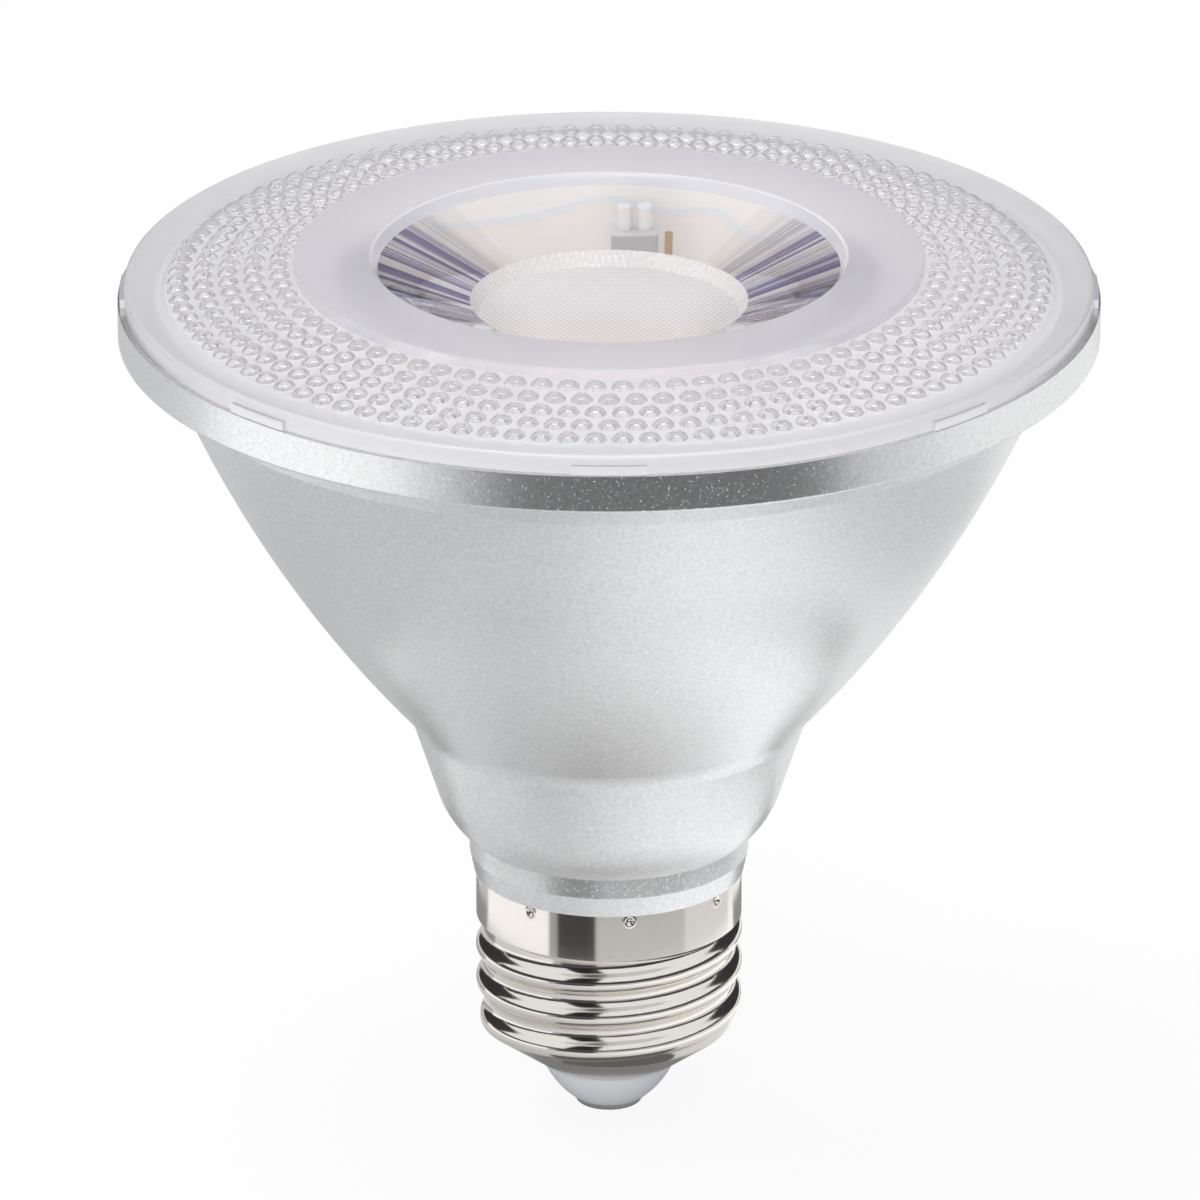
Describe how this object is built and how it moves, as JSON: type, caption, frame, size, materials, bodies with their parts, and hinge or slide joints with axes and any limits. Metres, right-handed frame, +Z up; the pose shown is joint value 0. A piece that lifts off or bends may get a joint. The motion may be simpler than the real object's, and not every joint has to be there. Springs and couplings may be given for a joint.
{
  "type": "led reflector light bulb",
  "caption": "Short neck LED reflector light bulb with a silver bowl housing, a clear domed and dished front lens over a collimator, and a medium screw cap.",
  "frame": {"origin": "The middle of the flat tip of the centre contact, where the lamp meets the bottom of its holder.", "axes": "+Z runs up the lamp's axis from the contact to the lens. The driver board stands in the plane of X and Z, and -Y is the side that the picture shows."},
  "size_m": [0.0952, 0.0952, 0.089],
  "materials": {
    "contact_metal": "bright plated, soldered tip",
    "white_plastic": "moulded, satin",
    "nickel_shell": "nickel plated, bright",
    "silver_paint": "fine grained metallic silver paint",
    "green_board": "solder mask",
    "resistor_coat": "dipped lacquer",
    "varistor_coat": "dipped epoxy",
    "black_plastic": "moulded",
    "film_coat": "dipped lacquer",
    "ferrite": "ground ferrite",
    "winding_tape": "polyester tape over copper",
    "red_wire": "extruded insulation",
    "white_wire": "extruded insulation",
    "aluminium_cup": "spun, satin",
    "grey_pad": "silicone",
    "white_board": "white solder mask",
    "ceramic": "fired ceramic",
    "white_silicone": "dispensed silicone",
    "phosphor": "phosphor in silicone",
    "steel_screws": "zinc plated",
    "grey_plastic": "moulded",
    "brass_blade": "stamped",
    "clear_lens": "clear moulded polycarbonate"
  },
  "bodies": {
    "root": {"centre_contact": "contact_metal", "base_insulator": "white_plastic", "screw_shell": "nickel_shell", "housing": "silver_paint", "driver_board": "green_board", "fuse_resistor": "resistor_coat", "surge_varistor": "varistor_coat", "input_choke": "black_plastic", "bridge_rectifier": "black_plastic", "film_capacitor": "film_coat", "output_capacitor": "black_plastic", "transformer_core": "ferrite", "transformer_bobbin": "black_plastic", "transformer_winding": "winding_tape", "power_switch": "black_plastic", "driver_chip": "black_plastic", "output_diode": "black_plastic", "live_wire": "red_wire", "neutral_wire": "white_wire", "led_wire_positive": "red_wire", "led_wire_negative": "white_wire", "heat_sink_cup": "aluminium_cup", "thermal_pad": "grey_pad", "led_board": "white_board", "led_substrate": "ceramic", "led_dam": "white_silicone", "led_phosphor": "phosphor", "board_screws": "steel_screws", "wire_connector": "grey_plastic", "test_blade": "brass_blade", "front_lens": "clear_lens"}
  },
  "joints": []
}
